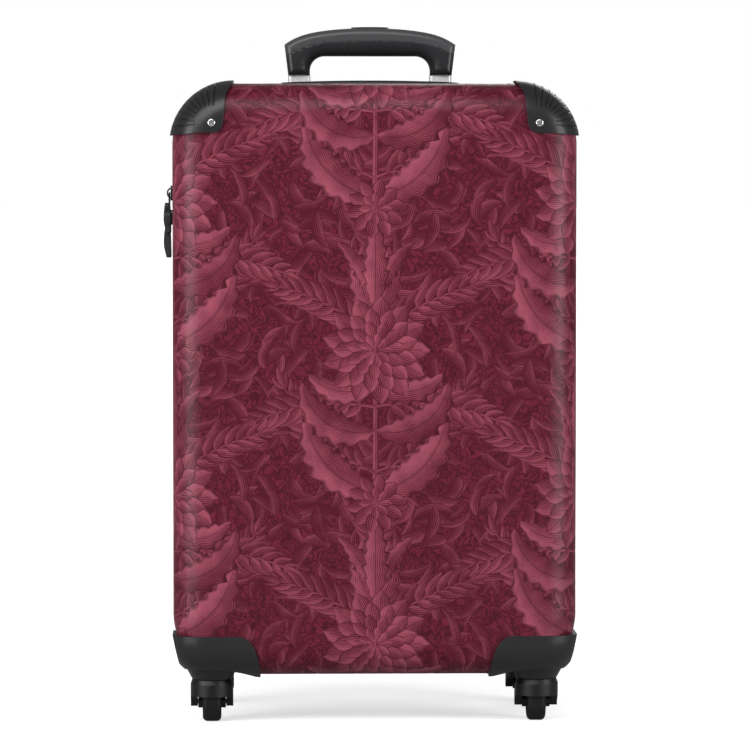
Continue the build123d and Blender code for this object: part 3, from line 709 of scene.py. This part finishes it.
cloth_from("packing_straps", "woven_packing_straps", webbing, "rear", 5, slacken)
cloth_from("carry_strap", "moulded_carry_strap", strap_rubber, "rear", 4, crown)

# The hinge is a strip of the same tape between the two rims. On the real case it rolls open as the lid turns; here
# it is one fixed sheet that rides no body.
rows, columns = 80, 9
across = np.linspace(-6.6, 6.6, columns)
strip = [(171.9 - 0.55 * math.cos(y / 6.6 * math.pi / 2) + 0.05 * math.sin(z / 5), y, z)
         for z in np.linspace(99, 491, rows) for y in across]
quads = [(r * columns + c, r * columns + c + 1, (r + 1) * columns + c + 1, (r + 1) * columns + c)
         for r in range(rows - 1) for c in range(columns - 1)]
hinge = make_piece("woven_hinge_strip", strip, quads, zip_tape, None, ["hinge_strip"], 80)
wall = hinge.modifiers.new("cloth_thickness", "SOLIDIFY")
wall.thickness = 0.0005
wall.offset = -1
bpy.ops.object.modifier_apply(modifier=wall.name)
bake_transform(hinge)


# Pull tabs: soft PVC moulded round the wire loop. Each is fullest at its middle and
# its lower end leans a little towards the case, as it has taken a set in use.
for name in ("upper", "lower"):
    low, high = [np.array(v) * 1000 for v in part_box(f"zip_pull_tab_{name}")]

    def swell(p):
        down = (high[2] - p[:, 2]) / (high[2] - low[2])
        middle = (low[0] + high[0]) / 2
        p[:, 0] = middle + (p[:, 0] - middle) * (0.82 + 0.5 * np.sin(np.pi * np.clip(down, 0, 1)) ** 0.8)
        p[:, 0] += 1.1 * rise(down, 0.55, 1.0)
        return p

    cloth_from(f"zip_pull_tab_{name}", f"moulded_pull_tab_{name}", pull_rubber, f"zip_pull_{name}",
               2, swell)

# Grip: the hand's side of the bar and of both legs is rounded far in, like a D.
grip_middle, opening_half, opening_r, hollow = 78.0, np.array([53.2, 30.0]), 13.0, 12.5
opening_top = 574.7


def round_under(p):
    q = np.abs(p[:, [0, 2]] - (0, opening_top - opening_half[1])) - opening_half + opening_r
    gap = np.linalg.norm(np.maximum(q, 0), axis=1) + np.minimum(q.max(1), 0) - opening_r
    near = 1 - np.clip(gap / hollow, 0, 1)
    p[:, 1] = grip_middle + (p[:, 1] - grip_middle) * (1 - 0.42 * near ** 2)
    return p


cloth_from("grip_body", "moulded_grip_body", grip_hard, "handle_grip", 2.5, round_under)
cloth_from("grip_cover", "moulded_grip_cover", grip_soft, "handle_grip", 2.5, round_under)

for node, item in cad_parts.items():
    for start, material in (
            ("caster_housing", abs_guard), ("top_guard", abs_guard), ("caster_fork", pp_fork),
            ("caster_stem", steel), ("wheel_axle", steel), ("wheel_hub", pp_fork), ("wheel_tyre", tyre_rubber),
            ("guard_screws", chrome), ("front_shell", abs_shell), ("rear_shell", abs_shell),
            ("handle_tubes", tube_metal), ("handle_foot", pp_fork), ("handle_bezel", pp_bezel),
            ("grip_body", grip_hard), ("grip_cover", grip_soft), ("grip_button", button_abs),
            ("carry_strap", strap_rubber), ("zip_slider", zip_metal), ("zip_pull_link", zip_metal),
            ("zip_pull_tab", pull_rubber), ("front_zip_tape", zip_tape), ("rear_zip_tape", zip_tape),
            ("front_zip_coil", coil_nylon), ("rear_zip_coil", coil_nylon), ("hinge_strip", zip_tape),
            ("front_rim_binding", binding_vinyl), ("rear_rim_binding", binding_vinyl),
            ("front_lining", lining_cloth), ("rear_lining", lining_cloth), ("packing_straps", webbing),
            ("strap_buckle", pp_fork)):
        if node.startswith(start):
            item.data.materials.clear()
            item.data.materials.append(material)
